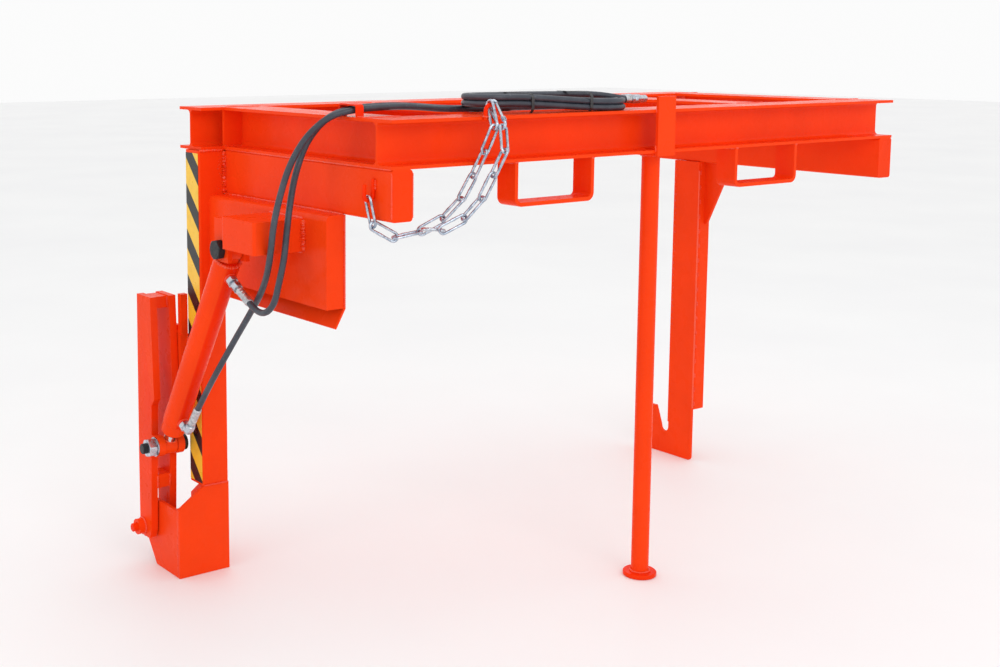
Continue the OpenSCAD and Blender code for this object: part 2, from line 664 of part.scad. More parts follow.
front_beam();
rear_beam();
left_beam();
right_beam();
inner_beam_left();
inner_beam_right();
corner_stiffeners();
left_side_tube();
right_side_tube();
tube_end_caps();
fork_pocket_left();
fork_pocket_right();
front_stop_bar();
leg_tube();
leg_head_plate();
leg_foot_disc();
guide_plate();
guide_box();
bracket_box();
bracket_lugs();
left_post();
shoe_front_plate();
shoe_outer_plate();
shoe_inner_plate();
shoe_floor_plate();
shoe_pivot_lug();
catch_plate();
catch_face();
hazard_tape();
arm_tube();
hook_plate();
arm_gusset();
weld_beads();
chain_hook_side();
chain_hook_top();
chain_links();
chain_loose_end();
chain_end_hook();
snap_hook_body();
snap_hook_gate();
hose_clip();
lever_outer_plate();
lever_inner_plate();
lever_cross_plates();
lever_bushes();
pivot_bolt();
upper_pin_bolt();
lower_pin_bolt();
cylinder_barrel();
cylinder_gland();
cylinder_piston();
piston_rod();
rod_eye();
port_fittings();
hose_ferrules();
hose_upper();
hose_lower();
hose_hank();
hank_ties();
quick_couplers();
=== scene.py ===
import bpy
import bmesh
import json
import math
import random
from mathutils import Matrix, Vector


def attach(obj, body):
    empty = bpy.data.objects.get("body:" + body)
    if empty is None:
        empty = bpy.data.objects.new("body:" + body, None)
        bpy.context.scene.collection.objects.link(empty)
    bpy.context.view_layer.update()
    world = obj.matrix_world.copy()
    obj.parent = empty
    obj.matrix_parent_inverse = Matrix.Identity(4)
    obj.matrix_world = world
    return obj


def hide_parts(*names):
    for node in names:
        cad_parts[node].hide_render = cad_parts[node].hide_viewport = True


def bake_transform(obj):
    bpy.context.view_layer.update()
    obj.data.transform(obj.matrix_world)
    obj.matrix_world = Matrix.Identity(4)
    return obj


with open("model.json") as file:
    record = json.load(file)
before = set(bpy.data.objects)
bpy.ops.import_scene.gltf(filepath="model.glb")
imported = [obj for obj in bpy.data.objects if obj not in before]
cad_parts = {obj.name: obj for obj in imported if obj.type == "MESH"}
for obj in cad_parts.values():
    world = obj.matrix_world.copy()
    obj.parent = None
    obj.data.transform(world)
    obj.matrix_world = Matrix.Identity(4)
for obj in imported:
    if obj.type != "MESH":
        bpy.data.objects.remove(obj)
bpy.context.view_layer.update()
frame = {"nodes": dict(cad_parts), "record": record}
random.seed(7)

X = Vector((1, 0, 0))
Z = Vector((0, 0, 1))

# The part's main places, in mm from the frame's front left corner. The prop leg stands on the row frame's
# origin; _Y is a front face, _Z an underside and _X a left face, unless the name says otherwise.
LEG_X, LEG_Y = 905, 60
FRAME_L, FRAME_TOP, BEAM_Z, BEAM_B = 1890, 1290, 1176, 120
REAR_Y = 760
FRAME_REAR = REAR_Y + BEAM_B
TUBE_Z, TUBE_W = 1056, 60
POCKET_X, POCKET_OUT = 371, 265
POCKET_PITCH = 2 * (LEG_X - POCKET_X) - POCKET_OUT
GUIDE_X, GUIDE_Y, GUIDE_Z = -50, 190, 830
BOX_FRONT, BOX_REAR, BOX_UNDER, BOX_TOP = 290, 445, 960, 1040
POST_X, POST_Y, POST_REAR = -80, 758, 833
SHOE_X, SHOE_TOP, SHOE_SIDE_TOP = -156, 250, 190
ARM_X, ARM_Y, ARM_REAR, HOOK_PLATE_X = FRAME_L - 54, 690, 798, FRAME_L - 64
LEVER_X, LEVER_Y, LEVER_TOP = -180, 866, 772
CYL_X, HALF_GAP, LUG_T = -141, 19, 12   # middle plane of the cylinder, half the gap round its eyes, a lug
UPPER_PIN_YZ, LOWER_PIN_YZ, PIVOT_YZ = (481, 952), (845, 358), (930, 108)


def P(x, y, z):
    """A point given in mm from the frame's front left corner, as a point of the row frame in metres."""
    return Vector(((x - LEG_X) / 1000, (y - LEG_Y) / 1000, z / 1000))


# ---------- camera ----------
cam_data = bpy.data.cameras.new("photo_camera")
cam_data.sensor_width = 36
cam_data.lens = 49.36
cam_data.shift_x = 0.146
cam_data.shift_y = -0.1157
camera = bpy.data.objects.new("photo_camera", cam_data)
camera.location = (-2.7409, -2.5340, 1.4624)
camera.rotation_euler = (math.radians(82.72), 0, math.radians(-35.0))
bpy.context.collection.objects.link(camera)
bpy.context.scene.camera = camera


# ---------- mesh helpers ----------
def piece(name, verts, faces, look, body="frame", crease=None, smooth=True):
    """A visible piece with its material and the body that carries it, unless body is None.

    Edges stay sharp where faces meet at more than crease, in degrees.
    """
    mesh = bpy.data.meshes.new(name)
    mesh.from_pydata([tuple(v) for v in verts], [], faces)
    mesh.validate()
    bm = bmesh.new()
    bm.from_mesh(mesh)
    bmesh.ops.recalc_face_normals(bm, faces=bm.faces)
    bm.to_mesh(mesh)
    bm.free()
    for p in mesh.polygons:
        p.use_smooth = smooth
    obj = bpy.data.objects.new(name, mesh)
    bpy.context.collection.objects.link(obj)
    mesh.materials.append(look)
    if crease:
        sharpen(obj, crease)
    if body:
        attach(obj, body)
    return obj


def sharpen(obj, angle):
    """Makes edges sharp where faces meet at more than angle, in degrees."""
    bm = bmesh.new()
    bm.from_mesh(obj.data)
    limit = math.radians(angle)
    for e in bm.edges:
        e.smooth = not (len(e.link_faces) == 2 and e.calc_face_angle(0) > limit)
    bm.to_mesh(obj.data)
    bm.free()


def soften(obj, name, width, angle):
    """Rounds the edges that are sharper than angle, in degrees, by width, in metres."""
    bevel = obj.modifiers.new(name, "BEVEL")
    bevel.width = width
    bevel.segments = 2
    bevel.limit_method = "ANGLE"
    bevel.angle_limit = math.radians(angle)


def frames_along(pts, closed=False):
    """Two unit vectors square to the line at each point, carried along without twist."""
    n = len(pts)
    tang = []
    for i in range(n):
        a = pts[(i - 1) % n] if closed or i > 0 else pts[i]
        b = pts[(i + 1) % n] if closed or i < n - 1 else pts[i]
        tang.append((b - a).normalized())
    ref = X if abs(tang[0].x) < 0.8 else Z
    normal = (ref - ref.dot(tang[0]) * tang[0]).normalized()
    out = []
    for t in tang:
        normal = (normal - normal.dot(t) * t).normalized()
        out.append((normal, t.cross(normal)))
    return out


def cross_axes(axis):
    """Two unit vectors square to a unit axis and to each other."""
    ref = Z if abs(axis.z) < 0.9 else X
    a = axis.cross(ref).normalized()
    return a, axis.cross(a)


def circle(centre, a, b, radius, sides):
    """Points round a centre in the plane of the unit vectors a and b, in metres."""
    turns = [2 * math.pi * k / sides for k in range(sides)]
    return [centre + radius * (math.cos(w) * a + math.sin(w) * b) for w in turns]


def sleeve(rings, sides, closed=False):
    """Faces that join each ring of points to the next, and the last to the first when closed."""
    faces = []
    for i in range(rings if closed else rings - 1):
        j = (i + 1) % rings
        for k in range(sides):
            m = (k + 1) % sides
            faces.append((i * sides + k, i * sides + m, j * sides + m, j * sides + k))
    return faces


def end_faces(rings, sides):
    """The faces that close the first and the last ring."""
    return [tuple(range(sides - 1, -1, -1)), tuple((rings - 1) * sides + k for k in range(sides))]


def tube_data(pts, radius, sides, closed=False):
    """radius is a number, or one number for each point."""
    radii = radius if isinstance(radius, (list, tuple)) else [radius] * len(pts)
    verts = []
    for (a, b), p, r in zip(frames_along(pts, closed), pts, radii):
        verts += circle(p, a, b, r, sides)
    faces = sleeve(len(pts), sides, closed)
    if not closed:
        faces += end_faces(len(pts), sides)
    return verts, faces


def tube(name, pts, radius, sides, look, body="frame", closed=False):
    """Round bar along a line of points, in metres."""
    return piece(name, *tube_data(pts, radius, sides, closed), look, body, 50)


def spline(pts, step):
    """Catmull-Rom curve through the points, sampled about every step, in metres."""
    q = [2 * pts[0] - pts[1]] + list(pts) + [2 * pts[-1] - pts[-2]]
    out = []
    for i in range(1, len(q) - 2):
        a, b, c, d = q[i - 1:i + 3]
        n = max(2, int((c - b).length / step))
        for k in range(n):
            t = k / n
            out.append(0.5 * (2 * b + (c - a) * t + (2 * a - 5 * b + 4 * c - d) * t * t
                              + (3 * b - a - 3 * c + d) * t ** 3))
    out.append(pts[-1].copy())
    return out


def smooth(pts, rounds):
    """Pulls inner points towards their neighbours, the ends kept."""
    for _ in range(rounds):
        pts = [pts[0], pts[1]] + [
            0.25 * pts[i - 1] + 0.5 * pts[i] + 0.25 * pts[i + 1] for i in range(2, len(pts) - 2)
        ] + [pts[-2], pts[-1]]
    return pts


def lathe(name, start, axis, profile, look, body="frame", sides=40):
    """Turned piece: profile is (distance along axis, radius) in mm from start."""
    axis = axis.normalized()
    a, b = cross_axes(axis)
    smallest = 0.01
    verts = []
    for s, r in profile:
        verts += circle(start + axis * s / 1000, a, b, max(r, smallest) / 1000, sides)
    faces = sleeve(len(profile), sides) + end_faces(len(profile), sides)
    return piece(name, verts, faces, look, body, 32)


def hexagon(name, start, axis, length, flats, look, body="frame", turn=0.0):
    """Hexagon with the turned chamfer of a real nut or bolt head. Sizes in mm, turn in degrees."""
    axis = axis.normalized()
    a, b = cross_axes(axis)
    sides, half = 48, flats / 2
    core, rim = 0.2, 0.95       # radii of the end faces' two rings, as parts of half
    slope, edge = 0.55, 0.3     # the chamfer's fall for each mm outwards, and its least fall
    verts = []

    def ring(scale, height):
        """scale is a part of half, or None for the hexagon's own outline."""
        for k in range(sides):
            w = 2 * math.pi * k / sides
            off = (math.degrees(w) + turn) % 60 - 30
            outline = half / math.cos(math.radians(off))
            r = outline if scale is None else scale * half
            s = height(max(0, outline - half * 0.99) * slope + edge)
            verts.append(start + axis * s / 1000 + r / 1000 * (math.cos(w) * a + math.sin(w) * b))

    ring(core, lambda fall: 0)
    ring(rim, lambda fall: 0)
    ring(None, lambda fall: fall)
    ring(None, lambda fall: length - fall)
    ring(rim, lambda fall: length)
    ring(core, lambda fall: length)
    return piece(name, verts, sleeve(6, sides) + end_faces(6, sides), look, body, 20)


# ---------- materials: noise scales are per metre, bump distances in metres ----------
def material(name):
    """A new material, with its nodes, its links and its main shader."""
    mat = bpy.data.materials.new(name)
    mat.use_nodes = True
    tree = mat.node_tree
    return mat, tree.nodes, tree.links, tree.nodes["Principled BSDF"]


def noise(nodes, links, coords, scale, detail, rough=0.5):
    """A noise texture's value."""
    tex = nodes.new("ShaderNodeTexNoise")
    tex.inputs["Scale"].default_value = scale
    tex.inputs["Detail"].default_value = detail
    tex.inputs["Roughness"].default_value = rough
    links.new(coords, tex.inputs["Vector"])
    return tex.outputs["Fac"]


def spread(nodes, links, value, low, high, out_low=0.0, out_high=1.0):
    """Maps low..high to out_low..out_high."""
    m = nodes.new("ShaderNodeMapRange")
    m.inputs["From Min"].default_value = low
    m.inputs["From Max"].default_value = high
    m.inputs["To Min"].default_value = out_low
    m.inputs["To Max"].default_value = out_high
    links.new(value, m.inputs["Value"])
    return m.outputs["Result"]


def mix(nodes, links, fac, a, b):
    """Blends from a to b; each input is a value or another node's output."""
    m = nodes.new("ShaderNodeMix")
    m.data_type = "RGBA"
    for socket, value in ((m.inputs["Factor"], fac), (m.inputs["A"], a), (m.inputs["B"], b)):
        if hasattr(value, "links"):
            links.new(value, socket)
        else:
            socket.default_value = value
    return m.outputs["Result"]


def bump(nodes, links, bsdf, height, strength, distance, below=None):
    """Adds a bump, on top of the bump below it where there is one."""
    b = nodes.new("ShaderNodeBump")
    b.inputs["Strength"].default_value = strength
    b.inputs["Distance"].default_value = distance
    links.new(height, b.inputs["Height"])
    if below:
        links.new(below, b.inputs["Normal"])
    links.new(b.outputs["Normal"], bsdf.inputs["Normal"])
    return b.outputs["Normal"]


def coords_of(nodes):
    """The object's own coordinates, which stay with it when it moves."""
    return nodes.new("ShaderNodeTexCoord").outputs["Object"]


def paint_material(name, base, deep, coarse=0.0, gloss=0.05):
    """Paint; coarse is the strength of its rough surface, where it has one, and gloss that of its shine."""
    mat, nodes, links, bsdf = material(name)
    c = coords_of(nodes)
    pale_speck, edge_highlight = (1.0, 0.11, 0.01, 1), (1.0, 0.11, 0.015, 1)
    # Colour: large soft patches, fine pale specks, and a painted highlight along convex edges
    cloud = spread(nodes, links, noise(nodes, links, c, 6, 4), 0.35, 0.7)
    col = mix(nodes, links, cloud, base, deep)
    speck = spread(nodes, links, noise(nodes, links, c, 320, 2), 0.66, 0.74)
    col = mix(nodes, links, spread(nodes, links, speck, 0, 1, 0, 0.2), col, pale_speck)
    # Painted highlight: convex edges, found by their pointiness, are made a paler orange
    geo = nodes.new("ShaderNodeNewGeometry").outputs["Pointiness"]
    edge = spread(nodes, links, geo, 0.53, 0.62, 0, 0.35)
    col = mix(nodes, links, edge, col, edge_highlight)
    links.new(col, bsdf.inputs["Base Color"])
    links.new(spread(nodes, links, noise(nodes, links, c, 22, 4), 0.3, 0.75, 0.20, 0.40),
              bsdf.inputs["Roughness"])
    bsdf.inputs["Coat Weight"].default_value = 0.03
    bsdf.inputs["Coat Roughness"].default_value = 0.10
    bsdf.inputs["Specular IOR Level"].default_value = gloss
    # Surface: fine orange peel, with the rough surface or slow waves over it
    peel = bump(nodes, links, bsdf, noise(nodes, links, c, 260, 2), 0.10, 0.0006)
    if coarse:
        bump(nodes, links, bsdf, noise(nodes, links, c, 420, 4, 0.7), coarse, 0.0012, peel)
    else:
        bump(nodes, links, bsdf, noise(nodes, links, c, 9, 2), 0.18, 0.004, peel)
    return mat


def metal_material(name, light, dark, rough, metallic, scale=60, strength=0.15):
    """Blotched metal; rough is the range of its roughness and strength that of its bump."""
    mat, nodes, links, bsdf = material(name)
    c = coords_of(nodes)
    blotch = spread(nodes, links, noise(nodes, links, c, scale, 5, 0.6), 0.35, 0.68)
    links.new(mix(nodes, links, blotch, light, dark), bsdf.inputs["Base Color"])
    links.new(spread(nodes, links, noise(nodes, links, c, scale * 2.2, 4), 0.3, 0.7, *rough),
              bsdf.inputs["Roughness"])
    bsdf.inputs["Metallic"].default_value = metallic
    bump(nodes, links, bsdf, noise(nodes, links, c, scale * 6, 3), strength, 0.0008)
    return mat


def rubber_material():
    """Dark rubber with pale dust and scuffs."""
    mat, nodes, links, bsdf = material("hose_rubber")
    c = coords_of(nodes)
    clean, dusty, worn = (0.030, 0.037, 0.052, 1), (0.085, 0.098, 0.125, 1), (0.12, 0.13, 0.16, 1)
    dust = spread(nodes, links, noise(nodes, links, c, 14, 5, 0.65), 0.42, 0.72, 0, 0.55)
    col = mix(nodes, links, dust, clean, dusty)
    scuff = spread(nodes, links, noise(nodes, links, c, 190, 3), 0.62, 0.7, 0, 0.5)
    links.new(mix(nodes, links, scuff, col, worn), bsdf.inputs["Base Color"])
    links.new(spread(nodes, links, noise(nodes, links, c, 40, 4), 0.3, 0.7, 0.30, 0.52),
              bsdf.inputs["Roughness"])
    grain = bump(nodes, links, bsdf, noise(nodes, links, c, 700, 2), 0.2, 0.0004)
    bump(nodes, links, bsdf, noise(nodes, links, c, 60, 3), 0.15, 0.001, grain)
    return mat


def tape_material():
    """Diagonal yellow and black bands across Y and Z."""
    mat, nodes, links, bsdf = material("warning_tape")
    c = coords_of(nodes)
    xyz = nodes.new("ShaderNodeSeparateXYZ")
    links.new(c, xyz.inputs[0])

    def math_node(op, a, b):
        """One calculation on two inputs, each a number or another node's output."""
        m = nodes.new("ShaderNodeMath")
        m.operation = op
        for s, v in zip(m.inputs, (a, b)):
            if hasattr(v, "links"):
                links.new(v, s)
            else:
                s.default_value = v
        return m.outputs[0]

    pitch, slope = 0.1245, -1.1         # height of one yellow and one black band, and their rise along Y
    phase = 40.088                      # shifts the bands along Z, in pitches
    band_low, band_high = 0.568, 0.572  # yellow below, black above
    slant = math_node("ADD", math_node("MULTIPLY", xyz.outputs["Z"], 1 / pitch),
                      math_node("MULTIPLY", xyz.outputs["Y"], slope / pitch))
    saw = math_node("FRACT", math_node("ADD", slant, phase), 0)
    black = spread(nodes, links, saw, band_low, band_high)
    grime = spread(nodes, links, noise(nodes, links, c, 45, 4), 0.45, 0.75, 0, 0.35)
    yellow = mix(nodes, links, grime, (0.93, 0.56, 0.035, 1), (0.62, 0.36, 0.03, 1))
    dark = mix(nodes, links, grime, (0.008, 0.009, 0.010, 1), (0.035, 0.035, 0.035, 1))
    links.new(mix(nodes, links, black, yellow, dark), bsdf.inputs["Base Color"])
    links.new(spread(nodes, links, noise(nodes, links, c, 30, 3), 0.3, 0.7, 0.22, 0.4),
              bsdf.inputs["Roughness"])
    bump(nodes, links, bsdf, noise(nodes, links, c, 130, 3), 0.12, 0.0006)
    return mat


PAINT = paint_material("orange_paint", (0.93, 0.028, 0.0003, 1), (0.80, 0.019, 0.0002, 1))
WELD = paint_material("painted_weld", (0.96, 0.06, 0.006, 1), (0.78, 0.022, 0.001, 1), coarse=0.5, gloss=0.6)
ZINC = metal_material("zinc_plate", (0.66, 0.70, 0.75, 1), (0.36, 0.40, 0.46, 1), (0.18, 0.42), 0.95)
GALV = metal_material("galvanised_chain", (0.64, 0.71, 0.80, 1), (0.24, 0.29, 0.37, 1), (0.16, 0.38), 0.95,
                      scale=90)
CRIMP = metal_material("crimped_steel", (0.66, 0.68, 0.70, 1), (0.36, 0.36, 0.38, 1), (0.24, 0.5), 0.95,
                       scale=120, strength=0.3)
BLACK = metal_material("black_oxide", (0.030, 0.031, 0.036, 1), (0.012, 0.012, 0.014, 1), (0.3, 0.55), 0.5,
                       scale=80)
CHROME = metal_material("hard_chrome", (0.80, 0.81, 0.83, 1), (0.66, 0.67, 0.70, 1), (0.06, 0.16), 1.0,
                        scale=30, strength=0.02)
RUBBER = rubber_material()
NYLON = metal_material("black_nylon", (0.02, 0.02, 0.022, 1), (0.05, 0.05, 0.052, 1), (0.35, 0.6), 0.0,
                       scale=70)
TAPE = tape_material()
LOOKS = {"orange_paint": PAINT, "zinc_steel": ZINC, "black_steel": BLACK, "rod_chrome": CHROME,
         "hose_rubber": RUBBER, "tie_plastic": NYLON, "warning_tape": TAPE}
SLOT_OF = {look: slot for slot, look in LOOKS.items()}
SLOT_OF.update({WELD: "orange_paint", GALV: "zinc_steel", CRIMP: "zinc_steel"})

# ---------- hoses ----------
HOSE_R = 0.008
# Routes from the ferrules to the hank, in mm
upper_route = [
    (-141, 395, 826), (-141, 377, 817), (-140, 345, 809), (-139, 311, 818), (-136, 287, 843),
    (-132, 275, 884), (-124, 262, 950), (-116, 260, 1020), (-108, 256, 1090), (-95, 250, 1160),
    (-70, 238, 1232), (-32, 214, 1285), (14, 192, 1306), (70, 190, 1311), (140, 194, 1312),
    (210, 199, 1309), (280, 200, 1303), (330, 198, 1300)]
lower_route = [
    (-141, 669, 497), (-138, 604, 578), (-128, 552, 650), (-117, 505, 716), (-113, 440, 790),
    (-124, 367, 856), (-145, 302, 918), (-155, 270, 975), (-153, 258, 1040), (-140, 248, 1110),
    (-121, 234, 1180), (-87, 214, 1245), (-40, 186, 1291), (14, 164, 1306), (70, 157, 1310),
    (140, 157, 1311), (210, 166, 1307), (280, 178, 1301), (335, 181, 1299)]
# The hank on the beam, in mm: its centre, its turn, the reach of its straight runs each way, the height
# of its underside, the height of the first turn's centre above that, and the height from turn to turn
HANK_C, HANK_TURN, HANK_END = (560, 104), math.radians(-7), 166
HANK_BASE, FIRST_TURN, TURN_RISE = 1290.3, 8.3, 15.9
ARC_STEPS, RUN_STEPS = 12, 8
COUPLING_X, COUPLING_Y = 262, 16  # the couplings' place in the hank, one on each side of its middle line


def hank_point(x, y, z):
    """A point of the hank, given along it, across it and above the beam, in mm."""
    return P(HANK_C[0] + x * math.cos(HANK_TURN) - y * math.sin(HANK_TURN),
             HANK_C[1] + x * math.sin(HANK_TURN) + y * math.cos(HANK_TURN), HANK_BASE + z)


def hank_route(r, out_y):
    """Two and a half turns of one hose, stacked, then across the top to its coupling."""
    e, z, pts = HANK_END, FIRST_TURN, []
    for _ in range(2):
        for k in range(RUN_STEPS + 1):
            pts.append(hank_point(-e + 2 * e * k / RUN_STEPS, r, z))
        for k in range(1, ARC_STEPS):
            w = math.pi / 2 - math.pi * k / ARC_STEPS
            pts.append(hank_point(e + r * math.cos(w), r * math.sin(w), z))
        for k in range(RUN_STEPS + 1):
            t = k / RUN_STEPS
            pts.append(hank_point(e - 2 * e * t, -r, z + TURN_RISE * t * t * (3 - 2 * t)))
        z += TURN_RISE
        for k in range(1, ARC_STEPS):
            w = -math.pi / 2 - math.pi * k / ARC_STEPS
            pts.append(hank_point(-e + r * math.cos(w), r * math.sin(w), z))
    # A straight run on top, a slanted one across to the coupling's line, then into the coupling
    for k in range(4):
        pts.append(hank_point(-e + 220 * k / 3, r, z - 0.5 * (k == 3)))
    for t in (0.2, 0.4, 0.6, 0.8):
        s = t * t * (3 - 2 * t)
        pts.append(hank_point(54 + 176 * t, r + (out_y - r) * s, z - 0.6 - (4.5 if t > 0.7 else 0)))
    pts.append(hank_point(236, out_y, 28.5))
    pts.append(hank_point(262.5, out_y, 26.3))
    return pts


def hose_line(route, r, out_y):
    """A hose's centre line: r is the radius of its turns, out_y its coupling's place across the hank."""
    return smooth(spline([P(*p) for p in route] + hank_route(r, out_y), 0.007), 6)


hose_upper_line = hose_line(upper_route, 66, COUPLING_Y)
hose_lower_line = hose_line(lower_route, 50, -COUPLING_Y)
hose_a = tube("hose_upper_run", hose_upper_line, HOSE_R, 16, RUBBER, None)
hose_b = tube("hose_lower_run", hose_lower_line, HOSE_R, 16, RUBBER, None)
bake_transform(hose_a)
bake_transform(hose_b)
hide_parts("hose_upper", "hose_hank")
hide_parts("hose_lower")

# Quick couplings on the hose ends
along = (hank_point(1, 0, 0) - hank_point(0, 0, 0)).normalized()
for i, y in enumerate((COUPLING_Y, -COUPLING_Y)):
    base = hank_point(COUPLING_X, y, 26)
    lathe(f"coupler_crimp_{i}", base - along * 0.02, along, [
        (0, 8.3), (0.5, 10.2), (5, 10.4), (6, 9.4), (7, 10.4), (11, 10.4), (12, 9.4), (13, 10.4), (18, 10.4),
        (19, 9.2), (20, 9)], CRIMP)
    hexagon(f"coupler_hex_{i}", base, along, 9, 22, ZINC)
    lathe(f"coupler_sleeve_{i}", base + along * 0.0085, along, [
        (0, 9), (0.5, 11.4), (3, 12), (4, 11.3), (5, 12), (6, 11.3), (7, 12), (8, 11.3), (9, 12), (18, 12),
        (20, 10), (22, 9.8)], ZINC)
    lathe(f"coupler_nose_{i}", base + along * 0.0302, along, [
        (0, 10), (6, 10), (7, 8.6), (9, 8.6), (10, 10), (18, 10), (21, 7.5), (22, 5), (17, 4.6), (16, 0.1)],
        ZINC)
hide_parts("quick_couplers")

# Straps round the hank
w, h, r = 75.0, 47.4, 9.0  # half width, height and corner, in mm
corners = [(w - r, 0.2), (w, r), (w, h - r), (w - r, h + 0.4), (0, h + 0.4), (-w + r, h + 0.4), (-w, h - r),
           (-w, r), (-w + r, 0.2)]
half_band = along * 0.004
band_depth = 0.0011
for i, x in enumerate((-90, 90)):
    verts = []
    for a, b in corners:
        p = hank_point(x, a, b)
        d = (p - hank_point(x, 0, h / 2)).normalized() * band_depth
        verts += [p - half_band, p + half_band, p + half_band + d, p - half_band + d]
    last = 4 * (len(corners) - 1)
    faces = sleeve(len(corners), 4) + [(0, 1, 2, 3), (last + 3, last + 2, last + 1, last)]
    piece(f"hank_strap_{i}", verts, faces, NYLON, smooth=False)
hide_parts("hank_ties")

# ---------- floor and light ----------
bpy.ops.mesh.primitive_plane_add(size=60, location=(0, 0, -0.0005))
floor = bpy.context.object
floor.name = "floor"
mat, nodes, links, bsdf = material("pale_floor")
c = coords_of(nodes)
tone = spread(nodes, links, noise(nodes, links, c, 0.8, 3), 0.3, 0.7)
links.new(mix(nodes, links, tone, (0.93, 0.93, 0.93, 1), (0.90, 0.90, 0.905, 1)), bsdf.inputs["Base Color"])
bsdf.inputs["Roughness"].default_value = 0.6
floor.data.materials.append(mat)

world = bpy.data.worlds.new("studio")
bpy.context.scene.world = world
world.use_nodes = True
world.node_tree.nodes["Background"].inputs["Color"].default_value = (1.0, 1.0, 1.0, 1)
world.node_tree.nodes["Background"].inputs["Strength"].default_value = 0.97


def area(name, location, target, size, power):
    """Rectangular light that faces its target."""
    data = bpy.data.lights.new(name, "AREA")
    data.shape = "RECTANGLE"
    data.size, data.size_y = size
    data.energy = power
    light = bpy.data.objects.new(name, data)
    light.location = location
    light.rotation_euler = (Vector(target) - Vector(location)).to_track_quat("-Z", "Y").to_euler()
    bpy.context.collection.objects.link(light)


area("key_light", (-1.0, -5.0, 3.6), (0, 0.2, 0.8), (3.0, 2.0), 52)
area("side_light", (-5.2, 0.2, 2.4), (-0.6, 0.5, 0.8), (1.2, 2.6), 12)
area("top_light", (0.3, 0.6, 4.6), (0, 0.4, 1.0), (3.5, 2.5), 16)
bpy.context.scene.view_settings.view_transform = "Standard"

# ---------- CAD nodes: materials and softened edges ----------
slots = {s["node"]: s["material_slot"] for s in frame["record"]["subparts"]}
for name, obj in frame["nodes"].items():
    look = WELD if name == "weld_beads" else LOOKS[slots[name]]
    obj.data.materials.clear()
    obj.data.materials.append(look)
    for s in obj.material_slots:
        s.material = look
    if slots[name] == "orange_paint" and name not in ("weld_beads", "chain_hook_side", "chain_hook_top"):
        soften(obj, "softened_edges", 0.0012, 50)


# ---------- chain ----------
def place_between(a, b, flip):
    """Turn and shift for a piece built along Z, so that it reaches from a to b; flip is a quarter turn."""
    t = (b - a).normalized()
    w = Vector((0, 1, 0)).cross(t).normalized()
    x = t.cross(w) if flip else w
    y = t.cross(x)
    m = (a + b) / 2
    return Matrix(((x.x, y.x, t.x, m.x), (x.y, y.y, t.y, m.y), (x.z, y.z, t.z, m.z), (0, 0, 0, 1)))


def stadium(width, length):
    """Closed line of a link's centre, in metres, in the plane of X and Z."""
    r, h = width / 2, (length - width) / 2
    arc_steps, side_steps = 14, 5
    pts = []
    for s in (1, -1):
        for k in range(arc_steps + 1):
            w = math.pi * k / arc_steps
            pts.append(Vector((s * r * math.cos(w), 0, s * (h + r * math.sin(w)))))
        for k in range(1, side_steps):
            pts.append(Vector((-s * r, 0, s * h * (1 - 2 * k / side_steps))))
    return pts


def link_mesh():
    """One link, a little thicker at the weld in the middle of one side."""
    wire_r, swell, swell_reach = 0.0035, 0.0006, 0.003
    line = stadium(0.021, 0.0725)
    seam = max(line, key=lambda p: p.x * 100 - abs(p.z))
    radii = [wire_r + swell * math.exp(-((p - seam).length / swell_reach) ** 2) for p in line]
    return tube_data(line, radii, 14, closed=True)


def half_ring(radius, z, start, steps):
    """Points of a half circle in X and Z about (0, 0, z), in metres.

    start is its first angle; steps are counted in twelfths of the half circle.
    """
    turns = [start + math.pi * k / 12 for k in steps]
    return [Vector((radius * math.cos(w), 0, z + radius * math.sin(w))) for w in turns]


# Ends of the links, in mm, along the chain from the side hook and along its loose end
chain_main = [
    (-18.6, 66.5, 1109.4), (-12.5, 53, 1046.1), (34.7, 34.9, 1016.8), (97.3, 20.7, 1026.8), (151, 2, 1055.6),
    (193, -12, 1100), (224, -19, 1154), (249.8, -26.6, 1208.8), (276.5, -31.4, 1266.4), (283.6, -3.8, 1321.8)]
chain_end = [
    (292.9, -42.9, 1266.5), (275.9, -69.6, 1213), (247.6, -62.7, 1157.3), (218, -57, 1104),
    (175.2, -45.9, 1059.4), (121.5, -30.8, 1034)]
for label, run, flip_first, node in (("main", chain_main, True, "chain_links"),
                                     ("loose", chain_end, False, "chain_loose_end")):
    verts, faces = [], []
    link_verts, link_faces = link_mesh()
    for i, (a, b) in enumerate(zip(run, run[1:])):
        m = place_between(P(*a), P(*b), (i % 2 == 0) == flip_first)
        faces += [tuple(k + len(verts) for k in f) for f in link_faces]
        verts += [m @ v for v in link_verts]
    links_obj = piece(f"chain_{label}", verts, faces, GALV)
    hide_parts(node)

# Spring hook: a bent rod with a thicker nose, and its gate, hinged between two riveted cheeks
snap = (Matrix.Translation(P(292.5, -21.7, 1293.9)) @ Matrix.Rotation(math.radians(-38.1), 4, "X")
        @ Matrix.Rotation(math.radians(90), 4, "Z"))
SNAP_R, SNAP_H, HINGE_Z = 0.013, 0.025, -0.017  # half width, half height and hinge of the hook's line
line = [Vector((-SNAP_R, 0, -0.0214)), Vector((-SNAP_R, 0, -SNAP_H))]
line += half_ring(SNAP_R, -SNAP_H, math.pi, range(1, 12))
line += [Vector((SNAP_R, 0, z)) for z in (-SNAP_H, -0.012, 0, 0.012, SNAP_H)]
line += half_ring(SNAP_R, SNAP_H, 0, range(1, 12))
line.append(Vector((-SNAP_R, 0, SNAP_H)))
radii = [0.0035] + [0.004] * (len(line) - 3) + [0.0045, 0.0046]
snap_body = tube("snap_hook_rod", [snap @ v for v in line], radii, 16, GALV)
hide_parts("snap_hook_body")
gate_line = [snap @ Vector((-SNAP_R, 0, z)) for z in (-0.0142, -0.0125, 0, 0.01, 0.02, 0.0246)]
gate = tube("snap_hook_latch", gate_line, [0.0024, 0.003, 0.003, 0.003, 0.003, 0.0028], 14, ZINC,
            "snap_gate")
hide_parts("snap_hook_gate")
across = snap.to_3x3() @ Vector((0, 1, 0))
